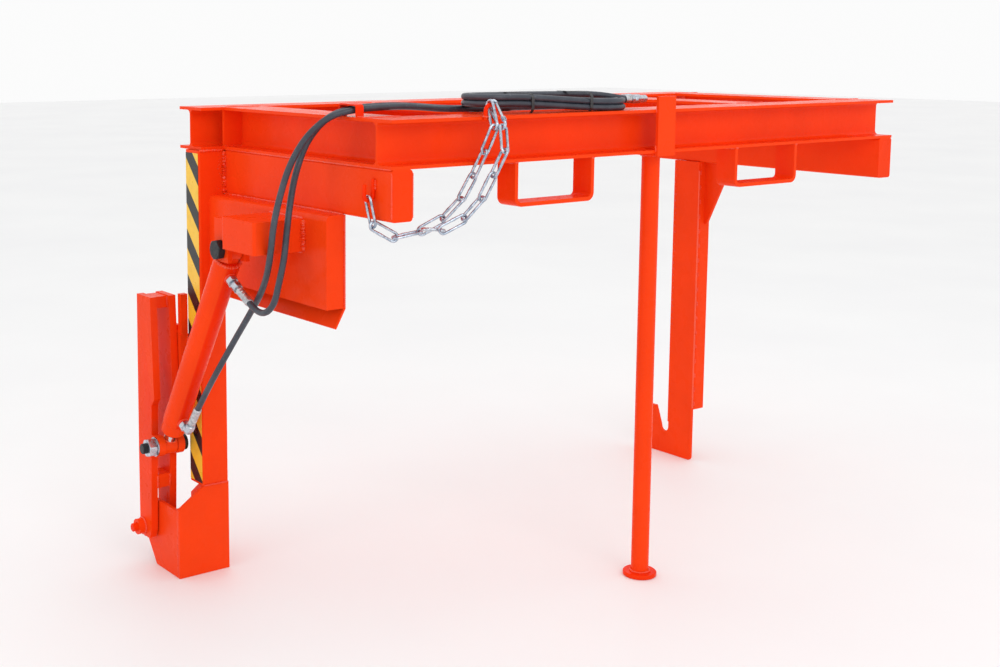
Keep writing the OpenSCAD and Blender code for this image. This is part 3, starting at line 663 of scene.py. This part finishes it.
lathe("snap_hook_latch_eye", snap @ Vector((-SNAP_R, -0.003, HINGE_Z)), across, [
    (0, 2.9), (0.4, 3.4), (5.6, 3.4), (6, 2.9)], ZINC, "snap_gate", 32)
for side, y, rivet_y, out in (("left", -0.0048, -0.0048, -across), ("right", 0.0033, 0.0048, across)):
    lathe("snap_hook_cheek_" + side, snap @ Vector((-SNAP_R, y, HINGE_Z)), across, [
        (0, 3.5), (0.3, 3.9), (1.2, 3.9), (1.5, 3.5)], GALV, sides=32)
    web_points = [snap @ Vector((x, y + dy, z)) for dy in (0.0002, 0.0013) for x, z in (
        (-0.0168, -0.026), (-0.0092, -0.026), (-0.0092, -0.0165), (-0.0168, -0.0165))]
    piece("snap_hook_web_" + side, web_points, [
        (0, 1, 2, 3), (7, 6, 5, 4), (0, 4, 5, 1), (1, 5, 6, 2), (2, 6, 7, 3), (3, 7, 4, 0)],
        GALV, smooth=False)
    lathe("snap_hook_rivet_" + side, snap @ Vector((-SNAP_R, rivet_y, HINGE_Z)), out,
          [(-0.2, 1.6), (0.1, 1.6), (0.5, 1.1)], ZINC, sides=20)

# The loose end's hook, open on one side
hook = place_between(P(*chain_end[-1]), P(81.1, -16.5, 1038), True)
line = half_ring(0.012, -0.014, math.pi, range(13))
line += [Vector((0.012, 0, -0.005)), Vector((0.012, 0, 0.005))]
line += half_ring(0.012, 0.014, 0, range(13))
radii = [0.0028, 0.0036] + [0.004] * (len(line) - 4) + [0.0036, 0.0028]
end_hook = tube("chain_end_hook_rod", [hook @ v for v in line], radii, 16, ZINC)
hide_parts("chain_end_hook")

# ---------- bolts and pins ----------
def pin_parts(prefix, y, z, parts, body, node):
    """Pieces of a pin along X: (kind, first x, last x, diameter or width over flats, material), in mm."""
    edge, end_fall, thread_pitch, thread_depth = 1.5, 2, 2.6, 1.2
    for i, (kind, x0, x1, size, look) in enumerate(parts):
        start, n, r = P(x0, y, z), x1 - x0, size / 2
        if kind == "hex":
            hexagon(f"{prefix}_hex_{i}", start, X, n, size, look, body, turn=12)
        elif kind == "washer":
            prof = [(0, r - 0.4), (0.4, r), (n - 0.4, r), (n, r - 0.4)]
            lathe(f"{prefix}_washer_{i}", start, X, prof, look, body, 48)
        else:
            prof = [(0, r - end_fall), (edge, r)]
            if kind == "thread":
                prof = [(0, r - end_fall), (edge, r - 0.3)]
                turns = max(2, int((n - 2 * edge) / thread_pitch))
                step = (n - 2 * edge) / turns
                for k in range(turns):
                    s0 = edge + (n - 2 * edge) * k / turns
                    prof += [(s0 + 0.25 * step, r), (s0 + 0.75 * step, r - thread_depth)]
            prof += [(n - edge, r - 0.2), (n, r - end_fall)]
            lathe(f"{prefix}_bar_{i}", start, X, prof, look, body)
    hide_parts(node)


pin_parts("upper_pin", *UPPER_PIN_YZ, [
    ("hex", -190.4, -172.3, 46, BLACK), ("bar", -174, -108, 29.9, BLACK), ("hex", -109.7, -88, 46, BLACK),
    ("thread", -92, -84.4, 28, BLACK)], "frame", "upper_pin_bolt")
pin_parts("lower_pin", *LOWER_PIN_YZ, [
    ("thread", -221.6, -205, 29, BLACK), ("hex", -207.6, -184.2, 45.6, ZINC),
    ("washer", -184, -180.3, 53.6, ZINC), ("bar", -184, -101, 29.9, ZINC),
    ("washer", -101.6, -89.4, 45.6, BLACK)], "clamp_lever", "lower_pin_bolt")
pin_parts("pivot", *PIVOT_YZ, [
    ("bar", -214.8, -198, 23.6, PAINT), ("bar", -202, -84, 23.6, PAINT), ("hex", -85.4, -72.2, 35.8, PAINT)],
    "frame", "pivot_bolt")

# ---------- cylinder: ports, fittings, crimps ----------
U = Vector((0, 0.5225, -0.8526))        # along the cylinder, from the upper pin down
NRM = Vector((0, -0.8526, -0.5225))     # square to it, on the side of the ports
UPPER_PIN = P(CYL_X, *UPPER_PIN_YZ)
UPPER_PORT, LOWER_PORT = 70, 580        # distances along U, in mm
BARREL_START, BARREL_END = 34, 604
UPPER_BACK, UPPER_END = P(CYL_X, 461.7, 859.2), P(CYL_X, 395, 826)  # each ferrule's nut end and hose end
LOWER_BACK, LOWER_END = P(CYL_X, 717.5, 434), P(CYL_X, 669, 497)


def on_cylinder(s, n):
    """A point s mm along the cylinder and n mm out from its axis."""
    return UPPER_PIN + U * s / 1000 + NRM * n / 1000


fit_a = hexagon("upper_port_hex", on_cylinder(UPPER_PORT, 39.2), NRM, 14, 27, ZINC, "cylinder_barrel")
up_dir = (UPPER_END - UPPER_BACK).normalized()
lathe("upper_port_neck", UPPER_BACK - up_dir * 0.014, up_dir, [(0, 8.6), (4, 8.6), (6, 8.9), (14, 9)],
      ZINC, "cylinder_barrel", 32)
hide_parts("port_fittings")
hexagon("lower_port_hex", on_cylinder(LOWER_PORT, 39.2), NRM, 13, 27, ZINC, "cylinder_barrel")
low_dir = (LOWER_END - LOWER_BACK).normalized()
elbow_line = spline([on_cylinder(LOWER_PORT, 50), on_cylinder(LOWER_PORT, 60), on_cylinder(577, 68.5),
                     LOWER_BACK - low_dir * 0.004, LOWER_BACK + low_dir * 0.002], 0.003)
tube("lower_port_elbow", elbow_line, 0.0105, 20, ZINC, "cylinder_barrel")


def crimped(prefix, back, end):
    """Swivel nut, and a ferrule with three crimps, from back to end."""
    d = (end - back).normalized()
    n = (end - back).length * 1000
    nut = hexagon(prefix + "_swivel_nut", back - d * 0.004, d, 19, 24, ZINC, "cylinder_barrel")
    first_crimp, crimp_pitch = 25, 11
    prof = [(14, 8.5), (19, 8.6), (20, 10.4), (22, 10.9)]
    for k in range(3):
        s0 = first_crimp + crimp_pitch * k
        prof += [(s0, 10.9), (s0 + 1.2, 9.8), (s0 + 6.5, 9.8), (s0 + 7.7, 10.9)]
    prof += [(n - 3, 10.9), (n - 1, 10.5), (n, 9.2), (n + 0.4, 8.1)]
    lathe(prefix + "_crimp", back, d, prof, CRIMP, "cylinder_barrel")
    return nut


nut = crimped("upper_hose", UPPER_BACK, UPPER_END)
crimped("lower_hose", LOWER_BACK, LOWER_END)
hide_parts("hose_ferrules")
# Gland: the wiper ring on its end face
lathe("gland_ring", on_cylinder(637, 0), U, [
    (0, 31), (1, 32), (3, 32), (4, 31), (4.2, 20), (6.2, 19), (6.4, 17.6)],
    BLACK, "cylinder_barrel", 48)


# ---------- welds ----------
def weld(name, points, r, body="frame", pitch=5.0, rough=0.16, closed=False):
    """Bead along points given in mm or as vectors; r is its radius, pitch the length of a ripple, in mm."""
    pts = [p if isinstance(p, Vector) else P(*p) for p in points]
    points_per_ripple, jitter = 3, 0.07
    line = []
    for a, b in zip(pts, pts[1:]):
        n = max(2, int((b - a).length * 1000 / (pitch / points_per_ripple)))
        for k in range(n):
            line.append(a + (b - a) * k / n)
    if not closed:
        line.append(pts[-1])
    radii = []
    for i in range(len(line)):
        ripple = (1 + rough * math.sin(2 * math.pi * i / points_per_ripple)
                  + random.uniform(-rough, rough) * 0.6)
        taper = 1.0 if closed else min(1.0, 0.55 + 0.25 * min(i, len(line) - 1 - i))
        radii.append(r / 1000 * ripple * taper)
        line[i] = line[i] + Vector([random.uniform(-1, 1) * r * jitter / 1000 for _ in range(3)])
    return tube(name, line, radii, 10, WELD, body, closed)


def ring_points(centre, axis, radius, n=48):
    """Points of a circle round an axis, with its radius in mm."""
    return circle(centre, *cross_axes(axis.normalized()), radius / 1000, n)


# Left side: post, bracket box, lugs, guide plate and side tube
y = POST_Y - 1.5
weld("weld_post_to_tube", [(-3, y, TUBE_Z + 2), (-3, y, BEAM_Z - 4)], 6.5, rough=0.3)
weld("weld_post_to_beam", [(POST_X + 2, POST_Y - 0.5, BEAM_Z - 1), (-4, POST_Y - 0.5, BEAM_Z - 1)], 3.5)
x, y0, y1 = GUIDE_X - 1, BOX_FRONT + 2, BOX_REAR - 2
weld("weld_box_front", [(x, BOX_FRONT - 1, BOX_UNDER + 2), (x, BOX_FRONT - 1, BOX_TOP - 2)], 7.0, pitch=8,
     rough=0.42)
weld("weld_box_top", [(x, y0, BOX_TOP + 1), (x, y1, BOX_TOP + 1)], 4)
weld("weld_box_bottom", [(x, y0, BOX_UNDER - 1), (x, y1, BOX_UNDER - 1)], 4)
for dx in (-HALF_GAP - LUG_T, -HALF_GAP, HALF_GAP, HALF_GAP + LUG_T):
    x = CYL_X + dx
    weld(f"weld_lug_{-x}", [(x, BOX_REAR + 1, 962), (x, BOX_REAR + 1, 1027)], 3)
weld("weld_guide_top", [(-1, GUIDE_Y + 3, TUBE_Z + 1), (-1, POST_Y - 2, TUBE_Z + 1)], 3.5)
weld("weld_guide_edge", [(1, GUIDE_Y - 1, GUIDE_Z + 2), (1, GUIDE_Y - 1, TUBE_Z - 2)], 2.6)
weld("weld_tube_top_left", [(1, 4, BEAM_Z), (1, FRAME_REAR - 4, BEAM_Z)], 2.2, pitch=7)
# Frame: both ends of the four cross beams, the corner plate, the fork pockets and the stop bar
for beam_x in (0, 376, 1314, FRAME_L - BEAM_B):
    x0, x1 = beam_x + 4, beam_x + BEAM_B - 4
    weld(f"weld_flange_front_{x0}", [(x0, BEAM_B, FRAME_TOP), (x1, BEAM_B, FRAME_TOP)], 1.9, pitch=6)
    weld(f"weld_flange_rear_{x0}", [(x0, REAR_Y, FRAME_TOP), (x1, REAR_Y, FRAME_TOP)], 1.9, pitch=6)
y, z = REAR_Y - 0.6, BEAM_Z + 9
weld("weld_corner_plate", [(1, y, z), (56, y, z)], 2.6)
for pocket_x in (POCKET_X, POCKET_X + POCKET_PITCH):
    for x, middle in ((pocket_x, pocket_x + 5), (pocket_x + POCKET_OUT, pocket_x + POCKET_OUT - 5)):
        z = BEAM_Z - 0.5
        weld(f"weld_pocket_{x}", [(x, 2, BEAM_Z - 1), (x, 64, BEAM_Z - 1)], 3.4)
        weld(f"weld_pocket_front_{x}", [(middle - 5, -0.3, z), (middle + 5, -0.3, z)], 2.6)
for x in (856, 921):
    weld(f"weld_bar_{x}", [(x, -1, BEAM_Z + 4), (x, -1, BEAM_Z + 20)], 2.8)
    weld(f"weld_bar_top_{x}", [(x, -1, FRAME_TOP - 8), (x, -1, FRAME_TOP)], 2.8)
# Prop leg, the left tube's cap, shoe and catch plate
weld("weld_leg_top", ring_points(P(LEG_X, LEG_Y, BEAM_Z - 9.5), Z, 25.5), 3.2, closed=True)
weld("weld_leg_foot", ring_points(P(LEG_X, LEG_Y, 13.5), Z, 25.5), 3.4, closed=True)
z0, z1 = TUBE_Z + 8, BEAM_Z - 8
weld("weld_cap_left", [(TUBE_W, -0.2, z0), (TUBE_W, -0.2, z1)], 1.8)
weld("weld_cap_left_outer", [(0, -0.2, z0), (0, -0.2, z1)], 1.8)
y, z = POST_Y - 1, SHOE_TOP + 0.5
weld("weld_shoe_front", [(POST_X + 2, y, z), (-2, y, z)], 2.6)
x, y = SHOE_X + 1, POST_Y + 10
weld("weld_shoe_edge", [(x, y, 4), (x, y, SHOE_SIDE_TOP)], 2.2)
x, y = POST_X - 0.5, POST_REAR + 3
weld("weld_catch", [(x, y, 436), (x, y, 660)], 3.6)
# Stitches down the arm tube
x, y = ARM_X - 0.5, ARM_Y - 0.5
first_z, pitch, length = 196, 51, 15
for k in range(17):
    z = first_z + k * pitch
    weld(f"stitch_arm_{k}", [(x, y, z), (x, y, z + length)], 3.3, rough=0.3)
# Plug welds near the rear edge of the hook plate, slightly out of line
x = HOOK_PLATE_X - 0.2
first_z, pitch, length = 470, 22, 7
for k in range(27):
    y, z = ARM_REAR - 10 + 1.5 * (k % 3), first_z + k * pitch
    weld(f"plug_arm_{k}", [(x, y, z), (x, y + 0.6, z + length)], 2.4, rough=0.35)
# Gusset, side hook and staple
weld("weld_gusset", [(1860, ARM_Y - 50, TUBE_Z - 1), (1860, ARM_Y - 2, TUBE_Z - 1)], 3)
for k in range(2):
    y = 60.5 + 11 * k
    weld(f"stitch_side_hook_{k}", [(-1.5, y, 1128), (-1.5, y, 1150)], 3.0, rough=0.3)
for x in (271, 302):
    weld(f"weld_staple_{x}", ring_points(P(x, -5.1, FRAME_TOP - 0.5), Z, 5.5, 14), 2.2, closed=True, pitch=3)
# Cylinder and lever
weld("weld_barrel_eye", ring_points(on_cylinder(BARREL_START + 2.5, 0), U, 31.5), 4.6, "cylinder_barrel",
     rough=0.32, closed=True)
weld("weld_barrel_gland", ring_points(on_cylinder(BARREL_END, 0), U, 33.0), 1.8, "cylinder_barrel",
     closed=True)
for s in (UPPER_PORT, LOWER_PORT):
    weld(f"weld_port_{s}", ring_points(on_cylinder(s, 34.6), NRM, 13.5, 24), 2.8, "cylinder_barrel",
         closed=True, pitch=3)
weld("weld_rod_eye", ring_points(on_cylinder(673, 0), U, 17), 2.6, "piston_rod", closed=True)
y = LEVER_Y + 7.4
for x in (CYL_X - HALF_GAP, CYL_X + HALF_GAP):
    weld(f"weld_lever_top_{-x}", [(x, y, LEVER_TOP - 30), (x, y, LEVER_TOP - 4)], 3.4, "clamp_lever")
    weld(f"weld_lever_low_{-x}", [(x, y, 230), (x, y, 264)], 3.4, "clamp_lever")
weld("weld_lever_boss", ring_points(P(LEVER_X - 1.5, *PIVOT_YZ), X, 22.6), 3.0, "clamp_lever", closed=True)

# Spatter beside the rough bead on the post: small domes, each with two rings of points and a peak
DOMES, DOME_SIDES = 46, 8
verts, faces = [], []
for _ in range(DOMES):
    centre = P(-7 - abs(random.gauss(0, 9)), POST_Y - 0.1, random.uniform(TUBE_Z + 10, BEAM_Z - 8))
    radius = random.uniform(0.7, 1.7) / 1000
    base = len(verts)
    turns = [2 * math.pi * k / DOME_SIDES for k in range(DOME_SIDES)]
    verts += [centre + Vector((math.cos(w), 0, math.sin(w))) * radius for w in turns]
    verts += [centre + Vector((math.cos(w) * 0.6, -0.6, math.sin(w) * 0.6)) * radius for w in turns]
    verts.append(centre + Vector((0, -0.85, 0)) * radius)
    low, high, peak = base, base + DOME_SIDES, base + 2 * DOME_SIDES
    for k in range(DOME_SIDES):
        j = (k + 1) % DOME_SIDES
        faces += [(low + k, low + j, high + j, high + k), (high + k, high + j, peak)]
    faces.append(tuple(low + DOME_SIDES - 1 - k for k in range(DOME_SIDES)))
piece("weld_spatter", verts, faces, WELD)


# ---------- hose clip: a bent strap over both hoses, in mm ----------
def arc(cy, cz, r, w0, w1):
    """Points of an arc in Y and Z from w0 to w1 degrees, in mm."""
    n = 6
    return [(cy + r * math.cos(math.radians(w0 + (w1 - w0) * k / n)),
             cz + r * math.sin(math.radians(w0 + (w1 - w0) * k / n))) for k in range(n + 1)]


x0, x1, y0, y1, foot, top = 2, 24, 142, 214, 1290.2, 1320   # the strap's outer faces
r, strap = 9, 4                                             # its outer corner and its thickness
outer = [(y0, foot)] + arc(y0 + r, top - r, r, 180, 90) + arc(y1 - r, top - r, r, 90, 0) + [(y1, foot)]
inner = [(y0 + strap, foot)] + arc(y0 + r, top - r, r - strap, 180, 90) + arc(
    y1 - r, top - r, r - strap, 90, 0) + [(y1 - strap, foot)]
verts = []
for (oy, oz), (iy, iz) in zip(outer, inner):
    verts += [P(x0, oy, oz), P(x1, oy, oz), P(x1, iy, iz), P(x0, iy, iz)]
faces = sleeve(len(outer), 4) + end_faces(len(outer), 4)
clip = piece("hose_clip_strap", verts, faces, PAINT, crease=30)
soften(clip, "edges", 0.0007, 60)
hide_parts("hose_clip")
for y in (y0, y1):
    weld(f"weld_clip_{y}", [(3, y, 1290.5), (23, y, 1290.5)], 2.4)
